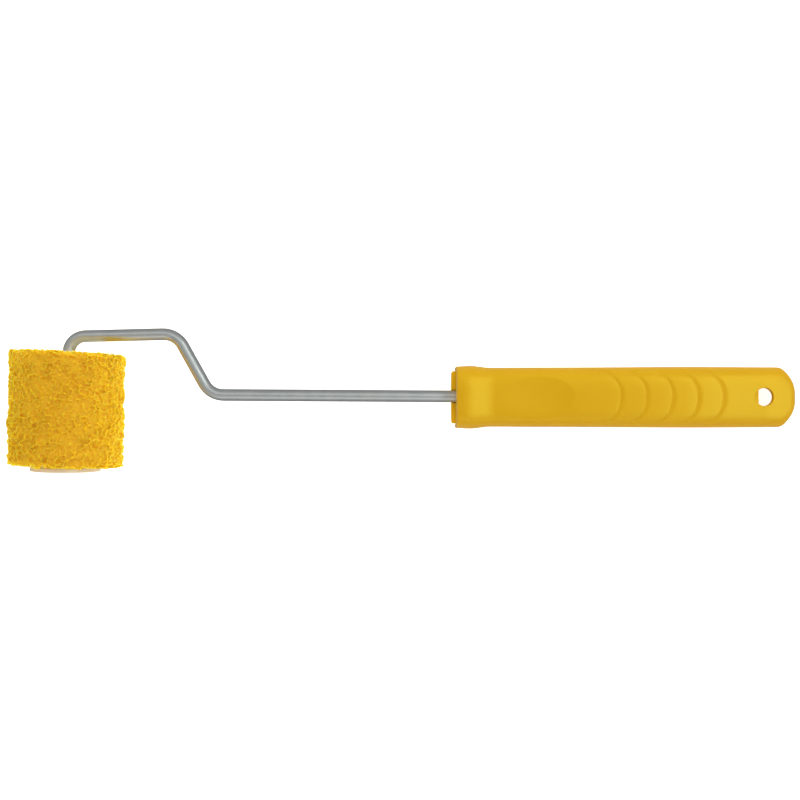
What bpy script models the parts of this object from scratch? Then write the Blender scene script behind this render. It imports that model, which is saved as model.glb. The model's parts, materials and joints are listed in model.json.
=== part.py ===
"""Mini paint roller: a foam sleeve that spins on a bent wire frame, held by a two-part moulded handle.

The tool is modelled in its own frame, and an empty then lays it down as it rests on a table:
+X runs from the handle's mouth to its tail, +Y across the handle, and +Z out of the plane in
which the wire is bent. X = 0 is the handle's mouth, and Y = 0 and Z = 0 are the handle's axis.
"""

import math

import bmesh
import bpy
from mathutils import Matrix, Vector

MM = 0.001

# Roller: an axle stretch of the wire, with everything turned about it. Places along the axle
# count from the middle of the sleeve, towards the cross arm.
ROLLER_CENTRE = (-174.7 * MM, -5.4 * MM)
ROLLER_LEAN = math.radians(1.2)
SLEEVE_LENGTH = 50.8 * MM
SLEEVE_RADIUS = 24.5 * MM
CORE_OUTER_RADIUS = 14.5 * MM
CORE_WALL = 1.5 * MM
CAP_FLANGE_RADIUS = 15.0 * MM
CAP_FLANGE_THICKNESS = 2.0 * MM
CAP_WALL = 1.5 * MM
NUT_RECESS_RADIUS = 6.5 * MM
NUT_RECESS_DEPTH = 4.0 * MM
HUB_RADIUS = 5.2 * MM
INNER_HUB_FACE = 19.6 * MM
TURNED_STEPS = 40

# Wire frame: one round wire, from the axle's tip round three bends to its end in the handle.
WIRE_RADIUS = 2.7 * MM
AXLE_CORNER_FROM_CENTRE = 32.8 * MM
AXLE_TIP_FROM_CENTRE = -27.0 * MM
CROSS_ARM_CORNER = (-125.75 * MM, 28.6 * MM)
SHANK_CORNER = (-110.3 * MM, 1.1 * MM)
AXLE_BEND_RADIUS = 7.5 * MM
FRAME_BEND_RADIUS = 10.0 * MM
BEND_STEPS = 8
WIRE_END = 67.0 * MM
EARS_START = 59.5 * MM
EARS_TAPER = 1.5 * MM
EARS_WIDEN = 1.5
EARS_THIN = 0.6

# Handle. The front shell's skirt reaches past the wire's plane, and the back shell nests in it.
HANDLE_LENGTH = 151.4 * MM
HALF_WIDTHS = ((0.0, 13.8), (6.0, 14.1), (15.5, 13.25), (40.0, 13.35), (105.0, 13.65), (145.0, 13.5))
CROWN_HEIGHTS = ((0.0, 11.8), (2.5, 12.0), (17.6, 9.4), (60.0, 9.6), (100.0, 9.6), (136.0, 8.4), (151.4, 7.2))
TAIL_RADIUS = 17.2 * MM
TAIL_EDGE_RADIUS = 5.0 * MM
MOUTH_EDGE_RADIUS = 0.5 * MM
CROWN_EXPONENT = 3.4
SHELL_WALL = 1.7 * MM
HANGING_WEB = 2.85 * MM
SKIRT_DEPTH = 6.5 * MM
BACK_DEPTH = 10.0 * MM
BACK_EDGE_RADIUS = 5.0 * MM
BACK_LIP = 1.7 * MM
BACK_END = 135.0 * MM
BACK_TAB = (131.6 * MM, 134.4 * MM)
BACK_TAB_HALF_WIDTH = 7.5 * MM
BACK_TAB_TOP = 5.0 * MM
RIB_CENTRES = (14.0, 30.0, 46.0, 57.0, 69.2)
HALF_RIB = 0.8 * MM
LONG_CHAMBER_END = 131.5 * MM
PIN_PLACES = (85.0 * MM, 120.0 * MM)
PIN_RADIUS = 2.0 * MM
PIN_END = -5.0 * MM
BOSS_RADIUS = 4.2 * MM
HANGING_HOLE_CENTRE = 135.8 * MM
HANGING_HOLE_RADIUS = 3.95 * MM

# Gap between two pieces that touch, and half of it where each gives way to a shared plane.
GAP = 0.3 * MM
HALF_GAP = GAP / 2
BEYOND = 5.0 * MM

YELLOW = (0.745, 0.451, 0.017)
CREAM = (0.83, 0.76, 0.62)
FOAM_YELLOW = (0.72, 0.45, 0.02)
ZINC = (0.60, 0.61, 0.60)
STEEL = (0.48, 0.48, 0.49)
NYLON = (0.80, 0.80, 0.76)


# ---------------------------------------------------------------------------------- helpers


def make_collection(name):
    collection = bpy.data.collections.new(name)
    bpy.context.scene.collection.children.link(collection)
    return collection


def make_material(name, colour, roughness, metallic=0.0):
    material = bpy.data.materials.new(name)
    material.use_nodes = True
    shader = material.node_tree.nodes["Principled BSDF"]
    shader.inputs["Base Color"].default_value = (*colour, 1.0)
    shader.inputs["Roughness"].default_value = roughness
    shader.inputs["Metallic"].default_value = metallic
    return material


def add_object(name, data, collection, parent, material=None):
    thing = bpy.data.objects.new(name, data)
    collection.objects.link(thing)
    thing.parent = parent
    if material is not None:
        data.materials.append(material)
    return thing


def add_cutter(name, mesh, collection, parent):
    thing = add_object(name, mesh, collection, parent)
    thing.hide_render = True
    thing.display_type = "WIRE"
    return thing


def cut(target, other, operation="DIFFERENCE"):
    modifier = target.modifiers.new(f"{operation.lower()}_{other.name}", "BOOLEAN")
    modifier.operation = operation
    modifier.solver = "EXACT"
    modifier.object = other


def smooth(mesh, angle=40):
    mesh.shade_smooth()
    mesh.set_sharp_from_angle(angle=math.radians(angle))


def interpolate(table, x):
    """Eases between the table's (place, value) rows, both in millimetres, at x in metres."""
    place = x / MM
    for (x0, v0), (x1, v1) in zip(table, table[1:]):
        if place <= x1:
            t = max(0.0, (place - x0) / (x1 - x0))
            return (v0 + (v1 - v0) * t * t * (3 - 2 * t)) * MM
    return table[-1][1] * MM


def loft(name, rings):
    """A closed mesh through rings of equally many points, with a flat cap at each end."""
    mesh = bpy.data.meshes.new(name)
    bm = bmesh.new()
    loops = [[bm.verts.new(point) for point in ring] for ring in rings]
    for here, there in zip(loops, loops[1:]):
        for i in range(len(here)):
            j = (i + 1) % len(here)
            bm.faces.new((here[i], here[j], there[j], there[i]))
    bm.faces.new(loops[0])
    bm.faces.new(loops[-1])
    bmesh.ops.recalc_face_normals(bm, faces=bm.faces)
    bm.to_mesh(mesh)
    bm.free()
    smooth(mesh)
    return mesh


def cylinder(name, radius, start, end, segments=32):
    """A closed cylinder between two points."""
    start, end = Vector(start), Vector(end)
    mesh = bpy.data.meshes.new(name)
    bm = bmesh.new()
    bmesh.ops.create_cone(
        bm, cap_ends=True, segments=segments, radius1=radius, radius2=radius, depth=(end - start).length
    )
    turn = (end - start).to_track_quat("Z", "Y").to_matrix().to_4x4()
    bm.transform(Matrix.Translation((start + end) / 2) @ turn)
    bm.to_mesh(mesh)
    bm.free()
    return mesh


def box(name, low, high):
    mesh = bpy.data.meshes.new(name)
    bm = bmesh.new()
    bmesh.ops.create_cube(bm, size=1.0)
    low, high = Vector(low), Vector(high)
    bm.transform(Matrix.Translation((low + high) / 2) @ Matrix.Diagonal((*(high - low), 1.0)))
    bm.to_mesh(mesh)
    bm.free()
    return mesh


def turned(name, profile, collection, parent, material):
    """A ring turned about the parent's Z. The profile is a closed loop of (radius, height) points
    that starts at the top of the outer side and runs down it."""
    mesh = bpy.data.meshes.new(name)
    points = [(radius, 0.0, height) for radius, height in profile]
    edges = [(i, (i + 1) % len(points)) for i in range(len(points))]
    mesh.from_pydata(points, edges, [])
    thing = add_object(name, mesh, collection, parent, material)
    screw = thing.modifiers.new("turn", "SCREW")
    screw.steps = TURNED_STEPS
    screw.render_steps = TURNED_STEPS
    screw.use_merge_vertices = True
    screw.merge_threshold = 0.00001
    screw.use_smooth_shade = True
    return thing


# ----------------------------------------------------------------------------------- handle


def tail_reach(x, inset):
    """Half width that the round tail end leaves at x."""
    radius = TAIL_RADIUS - inset
    along = x - (HANDLE_LENGTH - TAIL_RADIUS)
    return math.sqrt(max(0.0, radius * radius - along * along)) if along > 0 else radius


def half_width(x, inset=0.0):
    """Half width of the front shell's outline, blended into the round tail end."""
    straight = interpolate(HALF_WIDTHS, x) - inset
    reach = tail_reach(x, inset)
    blend = 1.0 * MM
    share = max(0.0, min(1.0, 0.5 + 0.5 * (reach - straight) / blend))
    return reach + (straight - reach) * share - blend * share * (1 - share)


def mouth_inset(x):
    """How far the rounded edge round the handle's mouth pulls the surface in."""
    if x >= MOUTH_EDGE_RADIUS or x < 0:
        return 0.0
    return MOUTH_EDGE_RADIUS - math.sqrt(MOUTH_EDGE_RADIUS**2 - (MOUTH_EDGE_RADIUS - x) ** 2)


def crown_height(x):
    """Height of the front shell's crown over the wire's plane, rounded off at the tail."""
    t = max(0.0, (x - (HANDLE_LENGTH - TAIL_EDGE_RADIUS)) / TAIL_EDGE_RADIUS)
    return interpolate(CROWN_HEIGHTS, x) * (1 - 0.6 * min(1.0, t) ** 4)


def front_section(x, inset, roof, bottom):
    """Ring of the front shell: over the crown from one side to the other, closed at the bottom."""
    segments = 20
    width = half_width(x, inset) - mouth_inset(x)
    height = crown_height(x) - roof - mouth_inset(x)
    ring = [(x, -width, bottom)]
    for i in range(segments + 1):
        angle = math.pi * (1 - i / segments)
        across = math.copysign(abs(math.cos(angle)) ** (2 / CROWN_EXPONENT), math.cos(angle))
        up = abs(math.sin(angle)) ** (2 / CROWN_EXPONENT)
        ring.append((x, width * across, height * up))
    ring.append((x, width, bottom))
    return ring


def back_section(x, inset, top):
    """Ring of the back shell: down one side, over the flat back with round edges, and up."""
    segments = 5
    width = interpolate(HALF_WIDTHS, max(x, 0.0)) - SHELL_WALL - GAP - inset
    depth = BACK_DEPTH - inset
    radius = BACK_EDGE_RADIUS - inset
    ring = [(x, -width, top)]
    for side in (-1, 1):
        for i in range(segments + 1):
            angle = math.pi / 2 * (i if side < 0 else segments - i) / segments
            across = width - radius + radius * math.cos(angle)
            ring.append((x, side * across, -depth + radius - radius * math.sin(angle)))
    ring.append((x, width, top))
    return ring


def stations(start, end, step=9.0 * MM):
    """Places along the handle from start to end, closer together at the collar and the tail."""
    fine = [0.0, 0.15, 0.5, 2.5, 5.0, 7.0, 8.5, 10.0, 11.5, 13.0, 14.5, 16.5]
    places = {start, end}
    places.update(x * MM for x in fine)
    places.update(x * MM for x in range(26, 142, round(step / MM)))
    tail_centre = HANDLE_LENGTH - TAIL_RADIUS
    places.update(tail_centre + TAIL_RADIUS * math.cos(math.radians(a)) for a in range(8, 72, 6))
    close = 0.1 * MM
    return [start] + sorted(x for x in places if start + close < x < end - close) + [end]


def wire_line(x):
    """Y of the straight shank at x."""
    slope = SHANK_CORNER[1] / (SHANK_CORNER[0] - WIRE_END)
    return slope * (x - WIRE_END)


def chambers():
    """Start and end of each hollow between the ribs that hold the wire."""
    walls = [SHELL_WALL - HALF_RIB] + [x * MM for x in RIB_CENTRES]
    ends = walls[1:] + [LONG_CHAMBER_END + HALF_RIB]
    return [(a + HALF_RIB, b - HALF_RIB) for a, b in zip(walls, ends)]


def add_wire_channel(collection, parent):
    reach = (EARS_START - EARS_TAPER, -BEYOND)
    start, end = ((x, wire_line(x), 0.0) for x in reach)
    mesh = cylinder("wire_channel", WIRE_RADIUS + GAP, start, end)
    return add_cutter("wire_channel", mesh, collection, parent)


def build_front_shell(parts, cutters, parent, material, wire_channel):
    """The front moulding: collar, crowned grip, skirt, ribs, locating pins and hanging web."""
    tail_inside = HANDLE_LENGTH - SHELL_WALL
    outline_end = HANDLE_LENGTH - 0.2 * MM
    rings = [front_section(x, 0.0, 0.0, -SKIRT_DEPTH) for x in stations(0.0, outline_end)]
    shell = add_object("handle_front_shell", loft("handle_front_shell", rings), parts, parent, material)

    pocket = []
    for x in stations(-BEYOND, tail_inside - 0.2 * MM):
        width = half_width(x, SHELL_WALL)
        corners = ((-width, -2 * BACK_DEPTH), (-width, HALF_GAP), (width, HALF_GAP), (width, -2 * BACK_DEPTH))
        pocket.append([(x, y, z) for y, z in corners])
    cut(shell, add_cutter("front_pocket", loft("front_pocket", pocket), cutters, parent))

    for number, (start, end) in enumerate(chambers()):
        name = f"front_chamber_{number}"
        rings = [front_section(x, SHELL_WALL, SHELL_WALL, -GAP) for x in stations(start, end)]
        cut(shell, add_cutter(name, loft(name, rings), cutters, parent))

    start = LONG_CHAMBER_END - HALF_RIB
    rings = [front_section(x, SHELL_WALL, HANGING_WEB, -GAP) for x in stations(start, tail_inside - GAP)]
    cut(shell, add_cutter("tail_scoop", loft("tail_scoop", rings), cutters, parent))

    for number, x in enumerate(PIN_PLACES):
        name = f"locating_pin_{number}"
        top = (x, 0.0, crown_height(x) - SHELL_WALL / 2)
        pin = cylinder(name, PIN_RADIUS, (x, 0.0, PIN_END), top, 20)
        cut(shell, add_cutter(name, pin, cutters, parent), "UNION")

    hole = cylinder(
        "hanging_hole",
        HANGING_HOLE_RADIUS,
        (HANGING_HOLE_CENTRE, 0.0, 0.0),
        (HANGING_HOLE_CENTRE, 0.0, 2 * BACK_DEPTH),
    )
    cut(shell, add_cutter("hanging_hole", hole, cutters, parent))
    cut(shell, wire_channel)
    return shell


def build_back_shell(parts, cutters, parent, material, wire_channel):
    """The back moulding: a trough with a flat back, which nests in the front shell's skirt."""
    edge = 1.2 * MM
    rings = []
    for x in [-BACK_LIP, *stations(-BACK_LIP + edge, BACK_END - edge), BACK_END]:
        at_end = x in (-BACK_LIP, BACK_END)
        ring = back_section(x, 0.0, -HALF_GAP)
        if at_end:
            ring = [(x, y * 0.985, max(z, -BACK_DEPTH + edge)) for _, y, z in ring]
        rings.append(ring)
    shell = add_object("handle_back_shell", loft("handle_back_shell", rings), parts, parent, material)

    for number, (start, end) in enumerate(chambers()):
        name = f"back_chamber_{number}"
        rings = [back_section(x, SHELL_WALL, BEYOND) for x in stations(max(start, GAP), end)]
        cut(shell, add_cutter(name, loft(name, rings), cutters, parent))

    low = (BACK_TAB[0], -BACK_TAB_HALF_WIDTH, -BEYOND)
    high = (BACK_TAB[1], BACK_TAB_HALF_WIDTH, BACK_TAB_TOP)
    cut(shell, add_cutter("end_tab", box("end_tab", low, high), cutters, parent), "UNION")

    for number, x in enumerate(PIN_PLACES):
        name = f"pin_boss_{number}"
        boss = cylinder(name, BOSS_RADIUS, (x, 0.0, -BACK_DEPTH + SHELL_WALL / 2), (x, 0.0, -HALF_GAP), 24)
        cut(shell, add_cutter(name, boss, cutters, parent), "UNION")
        name = f"pin_socket_{number}"
        socket = cylinder(name, PIN_RADIUS + GAP, (x, 0.0, PIN_END - 2 * GAP), (x, 0.0, BEYOND), 20)
        cut(shell, add_cutter(name, socket, cutters, parent))
    cut(shell, wire_channel)
    return shell


# -------------------------------------------------------------------------------- wire frame


def bent_route(corners, radii):
    """Points along straight runs joined by round bends; a corner of radius 0 stays a point."""
    route = [Vector(corners[0])]
    for before, corner, after, radius in zip(corners, corners[1:], corners[2:], radii):
        corner = Vector(corner)
        back = (Vector(before) - corner).normalized()
        ahead = (Vector(after) - corner).normalized()
        if radius == 0.0:
            route.append(corner)
            continue
        half_angle = back.angle(ahead) / 2
        centre = corner + (back + ahead).normalized() * (radius / math.sin(half_angle))
        first = corner + back * (radius / math.tan(half_angle))
        turn = math.pi - 2 * half_angle
        normal = (first - centre).cross(ahead).normalized()
        for i in range(BEND_STEPS + 1):
            spin = Matrix.Rotation(turn * i / BEND_STEPS, 3, normal)
            route.append(centre + spin @ (first - centre))
    route.append(Vector(corners[-1]))
    return route


def build_frame_wire(parts, parent, material):
    """The wire, swept as a curve, and then flattened at its handle end into ears that anchor it."""
    axle = Vector((math.sin(ROLLER_LEAN), math.cos(ROLLER_LEAN), 0.0))
    centre = Vector((*ROLLER_CENTRE, 0.0))
    corners = [
        centre + axle * AXLE_TIP_FROM_CENTRE,
        centre + axle * AXLE_CORNER_FROM_CENTRE,
        (*CROSS_ARM_CORNER, 0.0),
        (*SHANK_CORNER, 0.0),
        (EARS_START - EARS_TAPER, wire_line(EARS_START - EARS_TAPER), 0.0),
        (EARS_START, wire_line(EARS_START), 0.0),
        (WIRE_END, wire_line(WIRE_END), 0.0),
    ]
    radii = [AXLE_BEND_RADIUS, FRAME_BEND_RADIUS, FRAME_BEND_RADIUS, 0.0, 0.0]
    route = bent_route(corners, radii)

    curve = bpy.data.curves.new("frame_wire_route", "CURVE")
    curve.dimensions = "3D"
    curve.bevel_depth = WIRE_RADIUS
    curve.bevel_resolution = 4
    curve.use_fill_caps = True
    spline = curve.splines.new("POLY")
    spline.points.add(len(route) - 1)
    for point, place in zip(spline.points, route):
        point.co = (*place, 1.0)
    guide = bpy.data.objects.new("frame_wire_route", curve)
    parts.objects.link(guide)
    bpy.context.view_layer.update()
    graph = bpy.context.evaluated_depsgraph_get()
    mesh = bpy.data.meshes.new_from_object(guide.evaluated_get(graph))
    bpy.data.objects.remove(guide)

    bm = bmesh.new()
    bm.from_mesh(mesh)
    bmesh.ops.remove_doubles(bm, verts=bm.verts, dist=0.01 * MM)
    for vert in bm.verts:
        if vert.co.x > EARS_START - EARS_TAPER / 2:
            middle = wire_line(vert.co.x)
            vert.co.y = middle + (vert.co.y - middle) * EARS_WIDEN
            vert.co.z *= EARS_THIN
    bmesh.ops.recalc_face_normals(bm, faces=bm.faces)
    bm.to_mesh(mesh)
    bm.free()
    smooth(mesh)
    mesh.name = "frame_wire"
    return add_object("frame_wire", mesh, parts, parent, material)


# ------------------------------------------------------------------------------------ roller


def build_sleeve(parts, axis, material):
    half = SLEEVE_LENGTH / 2
    bore = CORE_OUTER_RADIUS + GAP
    edge = 1.0 * MM
    profile = [
        (SLEEVE_RADIUS - edge, half),
        (SLEEVE_RADIUS, half - edge),
        (SLEEVE_RADIUS, edge - half),
        (SLEEVE_RADIUS - edge, -half),
        (bore, -half),
        (bore, half),
    ]
    turned("foam_sleeve", profile, parts, axis, material)


def build_core(parts, axis, material):
    half = SLEEVE_LENGTH / 2
    bore = CORE_OUTER_RADIUS - CORE_WALL
    edge = 0.4 * MM
    profile = [
        (CORE_OUTER_RADIUS - edge, half),
        (CORE_OUTER_RADIUS, half - edge),
        (CORE_OUTER_RADIUS, -half),
        (bore, -half),
        (bore, half - edge),
        (bore + edge, half),
    ]
    turned("core_tube", profile, parts, axis, material)


def build_outer_cap(parts, axis, material):
    """The cap at the free end: a flange over the core's end, a spigot in it, and a hub."""
    spigot = CORE_OUTER_RADIUS - CORE_WALL - GAP
    spigot_end = -15.0 * MM
    seat = -SLEEVE_LENGTH / 2 - GAP
    face = seat - CAP_FLANGE_THICKNESS
    dome = 0.2 * MM
    edge = 0.5 * MM
    recess_floor = face + NUT_RECESS_DEPTH
    web_top = recess_floor + CAP_WALL
    wall_outside = NUT_RECESS_RADIUS + CAP_WALL
    bore = WIRE_RADIUS + GAP
    profile = [
        (spigot - edge, spigot_end),
        (spigot, spigot_end - edge),
        (spigot, seat),
        (CAP_FLANGE_RADIUS, seat),
        (CAP_FLANGE_RADIUS, face + edge),
        (CAP_FLANGE_RADIUS - edge, face),
        (NUT_RECESS_RADIUS + edge, face - dome),
        (NUT_RECESS_RADIUS, face + edge),
        (NUT_RECESS_RADIUS, recess_floor),
        (bore, recess_floor),
        (bore, spigot_end),
        (HUB_RADIUS, spigot_end),
        (HUB_RADIUS, web_top),
        (wall_outside, web_top),
        (wall_outside, seat - edge),
        (spigot - CAP_WALL, seat - edge),
        (spigot - CAP_WALL, spigot_end),
    ]
    turned("outer_end_cap", profile, parts, axis, material)
    return recess_floor


def build_inner_cap(parts, axis, material):
    """The plug at the frame's end: a cup pressed into the core, with a hub for the axle."""
    spigot = CORE_OUTER_RADIUS - CORE_WALL - GAP
    rim = INNER_HUB_FACE + 0.8 * MM
    skirt_end = 9.0 * MM
    hub_end = 12.0 * MM
    web_face = INNER_HUB_FACE - 0.6 * MM
    web_under = web_face - CAP_WALL
    bore = WIRE_RADIUS + GAP
    edge = 0.5 * MM
    profile = [
        (spigot - edge, rim),
        (spigot, rim - edge),
        (spigot, skirt_end),
        (spigot - CAP_WALL, skirt_end),
        (spigot - CAP_WALL, web_under),
        (HUB_RADIUS, web_under),
        (HUB_RADIUS, hub_end),
        (bore, hub_end),
        (bore, INNER_HUB_FACE),
        (HUB_RADIUS + edge, INNER_HUB_FACE),
        (HUB_RADIUS + 2 * edge, web_face),
        (spigot - CAP_WALL - edge, web_face),
        (spigot - CAP_WALL, rim),
    ]
    turned("inner_end_cap", profile, parts, axis, material)


def build_axle_fittings(parts, axis, recess_floor, steel, nylon):
    """The stop ring, the two thrust washers and the push nut that keep the roller on the wire."""
    grip = WIRE_RADIUS + 0.2 * MM
    washer_thickness = 0.7 * MM
    edge = 0.4 * MM

    bottom = INNER_HUB_FACE + GAP
    top = bottom + washer_thickness
    profile = [(HUB_RADIUS, top), (HUB_RADIUS, bottom), (WIRE_RADIUS + GAP, bottom), (WIRE_RADIUS + GAP, top)]
    turned("inner_thrust_washer", profile, parts, axis, nylon)

    bottom = top + GAP
    top = bottom + 2.5 * MM
    ring_radius = 4.6 * MM
    profile = [
        (ring_radius - edge, top),
        (ring_radius, top - edge),
        (ring_radius, bottom + edge),
        (ring_radius - edge, bottom),
        (grip, bottom),
        (grip, top),
    ]
    turned("axle_stop_ring", profile, parts, axis, steel)

    top = recess_floor - GAP
    bottom = top - washer_thickness
    profile = [(HUB_RADIUS, top), (HUB_RADIUS, bottom), (WIRE_RADIUS + GAP, bottom), (WIRE_RADIUS + GAP, top)]
    turned("outer_thrust_washer", profile, parts, axis, nylon)

    top = bottom - GAP
    sheet = 0.5 * MM
    rim_radius = 5.8 * MM
    bend_radius = 4.4 * MM
    tongue_rise = 0.9 * MM
    profile = [
        (rim_radius, top),
        (rim_radius, top - sheet),
        (bend_radius, top - sheet),
        (grip, top - sheet - tongue_rise),
        (grip, top - tongue_rise),
        (bend_radius, top),
    ]
    turned("push_nut", profile, parts, axis, steel)


# ------------------------------------------------------------------------------------- build


def lay_down(tool, parts):
    """Tips the tool until the sleeve and the handle's tail both touch the ground, and puts the
    origin under the middle of its box."""
    span = BACK_END - 1.2 * MM - ROLLER_CENTRE[0]
    tilt = math.asin(SLEEVE_RADIUS / math.hypot(span, BACK_DEPTH)) - math.atan2(BACK_DEPTH, span)
    tool.rotation_euler = (0.0, tilt, 0.0)
    bpy.context.view_layer.update()
    graph = bpy.context.evaluated_depsgraph_get()
    corners = []
    for thing in parts.objects:
        if thing.type != "MESH":
            continue
        evaluated = thing.evaluated_get(graph)
        corners += [evaluated.matrix_world @ vert.co for vert in evaluated.data.vertices]
    low = [min(corner[i] for corner in corners) for i in range(3)]
    high = [max(corner[i] for corner in corners) for i in range(3)]
    tool.location = (-(low[0] + high[0]) / 2, -(low[1] + high[1]) / 2, -low[2])


def build():
    for thing in list(bpy.data.objects):
        bpy.data.objects.remove(thing)
    parts = make_collection("mini_paint_roller")
    cutters = make_collection("cutters")

    tool = add_object("tool_frame", None, parts, None)
    axis = add_object("roller_axis", None, parts, tool)
    axis.location = (*ROLLER_CENTRE, 0.0)
    axis.rotation_euler = (-math.pi / 2, 0.0, -ROLLER_LEAN)

    front_plastic = make_material("yellow_plastic_front", YELLOW, 0.38)
    back_plastic = make_material("yellow_plastic_back", YELLOW, 0.42)
    zinc = make_material("zinc_wire", ZINC, 0.34, 1.0)
    foam = make_material("yellow_foam", FOAM_YELLOW, 0.9)
    core_plastic = make_material("cream_core_plastic", CREAM, 0.5)
    inner_plastic = make_material("cream_inner_cap_plastic", CREAM, 0.48)
    outer_plastic = make_material("cream_outer_cap_plastic", CREAM, 0.45)
    steel = make_material("spring_steel", STEEL, 0.35, 1.0)
    nylon = make_material("washer_nylon", NYLON, 0.5)

    wire_channel = add_wire_channel(cutters, tool)
    build_front_shell(parts, cutters, tool, front_plastic, wire_channel)
    build_back_shell(parts, cutters, tool, back_plastic, wire_channel)
    build_frame_wire(parts, tool, zinc)

    build_sleeve(parts, axis, foam)
    build_core(parts, axis, core_plastic)
    build_inner_cap(parts, axis, inner_plastic)
    recess_floor = build_outer_cap(parts, axis, outer_plastic)
    build_axle_fittings(parts, axis, recess_floor, steel, nylon)

    lay_down(tool, parts)


build()
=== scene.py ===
"""Looks of the mini paint roller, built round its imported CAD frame.

Every piece is made in the tool's own frame, as in part.py: +X from the handle's mouth to its tail,
+Y across it and +Z out of the wire's plane. The roller's pieces are made about the axle's Z.
"""

import json
import math

import bmesh
import bpy
import numpy as np
from mathutils import Matrix, Vector


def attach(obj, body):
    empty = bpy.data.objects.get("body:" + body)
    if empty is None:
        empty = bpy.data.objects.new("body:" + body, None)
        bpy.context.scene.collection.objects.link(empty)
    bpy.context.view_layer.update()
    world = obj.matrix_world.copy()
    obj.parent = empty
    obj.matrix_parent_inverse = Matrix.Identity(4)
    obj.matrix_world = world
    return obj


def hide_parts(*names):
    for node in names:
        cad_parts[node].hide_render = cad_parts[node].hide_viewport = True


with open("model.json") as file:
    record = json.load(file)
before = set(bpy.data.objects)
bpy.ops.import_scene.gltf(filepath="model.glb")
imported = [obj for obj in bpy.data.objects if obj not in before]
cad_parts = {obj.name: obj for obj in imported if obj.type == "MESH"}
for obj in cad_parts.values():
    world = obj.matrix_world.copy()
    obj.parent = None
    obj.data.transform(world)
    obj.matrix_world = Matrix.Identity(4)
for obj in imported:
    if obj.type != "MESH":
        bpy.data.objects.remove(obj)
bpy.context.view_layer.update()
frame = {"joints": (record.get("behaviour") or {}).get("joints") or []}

MM = 0.001

# The tool's frame, from the joint that carries the roller.
REST_TILT = math.radians(2.696)
ROLLER_CENTRE = Vector((-174.7 * MM, -5.4 * MM, 0.0))
spin = frame["joints"][0]
spin_place = Vector(spin["pos_m"])
spin_axis = Vector(spin["axis"]).normalized()
tool_turn = Matrix.Rotation(REST_TILT, 4, "Y")
TOOL = Matrix.Translation(spin_place - tool_turn @ ROLLER_CENTRE) @ tool_turn
ROLLER_LEAN = math.radians(1.2)
axle_turn = Matrix.Rotation(-ROLLER_LEAN, 4, "Z") @ Matrix.Rotation(-math.pi / 2, 4, "X")
ROLLER = TOOL @ Matrix.Translation(ROLLER_CENTRE) @ axle_turn

# Sizes shared with the CAD model.
SLEEVE_LENGTH = 50.8 * MM
SLEEVE_RADIUS = 24.5 * MM
CORE_OUTER_RADIUS = 14.5 * MM
CORE_WALL = 1.5 * MM
CAP_FLANGE_RADIUS = 15.0 * MM
CAP_FLANGE_THICKNESS = 2.0 * MM
CAP_WALL = 1.5 * MM
NUT_RECESS_RADIUS = 6.5 * MM
NUT_RECESS_DEPTH = 4.0 * MM
HUB_RADIUS = 5.2 * MM
INNER_HUB_FACE = 19.6 * MM
WIRE_RADIUS = 2.7 * MM
AXLE_CORNER_FROM_CENTRE = 32.8 * MM
AXLE_TIP_FROM_CENTRE = -27.0 * MM
CROSS_ARM_CORNER = (-125.75 * MM, 28.6 * MM)
SHANK_CORNER = (-110.3 * MM, 1.1 * MM)
AXLE_BEND_RADIUS = 7.5 * MM
FRAME_BEND_RADIUS = 10.0 * MM
WIRE_END = 67.0 * MM
EARS_START = 59.5 * MM
EARS_TAPER = 1.5 * MM
HANDLE_LENGTH = 151.4 * MM

# Rows of a place along the handle and the size there, both in millimetres.
HALF_WIDTHS = (
    (0.0, 13.8),
    (6.0, 14.1),
    (15.5, 13.25),
    (40.0, 13.35),
    (105.0, 13.65),
    (145.0, 13.5),
)
CROWN_HEIGHTS = (
    (0.0, 11.8),
    (2.5, 12.0),
    (17.6, 9.4),
    (60.0, 9.6),
    (100.0, 9.6),
    (136.0, 8.4),
    (151.4, 7.2),
)

TAIL_RADIUS = 17.2 * MM
TAIL_EDGE_RADIUS = 5.0 * MM
MOUTH_EDGE_RADIUS = 0.5 * MM
CROWN_EXPONENT = 3.4
TAIL_DROP = 0.6
SHELL_WALL = 1.7 * MM
HANGING_WEB = 2.85 * MM
SKIRT_DEPTH = 6.5 * MM
SKIRT_EDGE_RADIUS = 0.35 * MM
BACK_DEPTH = 10.0 * MM
BACK_EDGE_RADIUS = 5.0 * MM
BACK_LIP = 1.7 * MM
BACK_END = 135.0 * MM
BACK_TAB = (131.6 * MM, 134.4 * MM)
BACK_TAB_HALF_WIDTH = 7.5 * MM
BACK_TAB_TOP = 5.0 * MM
RIB_CENTRES = (14.0 * MM, 30.0 * MM, 46.0 * MM, 57.0 * MM, 69.2 * MM)
HALF_RIB = 0.8 * MM
LONG_CHAMBER_END = 131.5 * MM
PIN_PLACES = (85.0 * MM, 120.0 * MM)
PIN_RADIUS = 2.0 * MM
PIN_END = -5.0 * MM
BOSS_RADIUS = 4.2 * MM
HANGING_HOLE_CENTRE = 135.8 * MM
HANGING_HOLE_RADIUS = 3.95 * MM
HANGING_HOLE_LIP = 0.5 * MM
GAP = 0.3 * MM
HALF_GAP = GAP / 2
BEYOND = 5.0 * MM

# How finely round and curved shapes are divided.
SHARP_ANGLE = 32
CROWN_SAMPLES = 241
SECTION_POINTS = 121
CHAMBER_POINTS = 41
SCOOP_POINTS = 61
PIN_SIDES = 32
WIRE_SIDES = 40
WIRE_SHARP_ANGLE = 40
RUN_SPACING = 1.5 * MM
BEND_SPACING = 0.6 * MM


# ------------------------------------------------------------------------ making meshes


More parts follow.
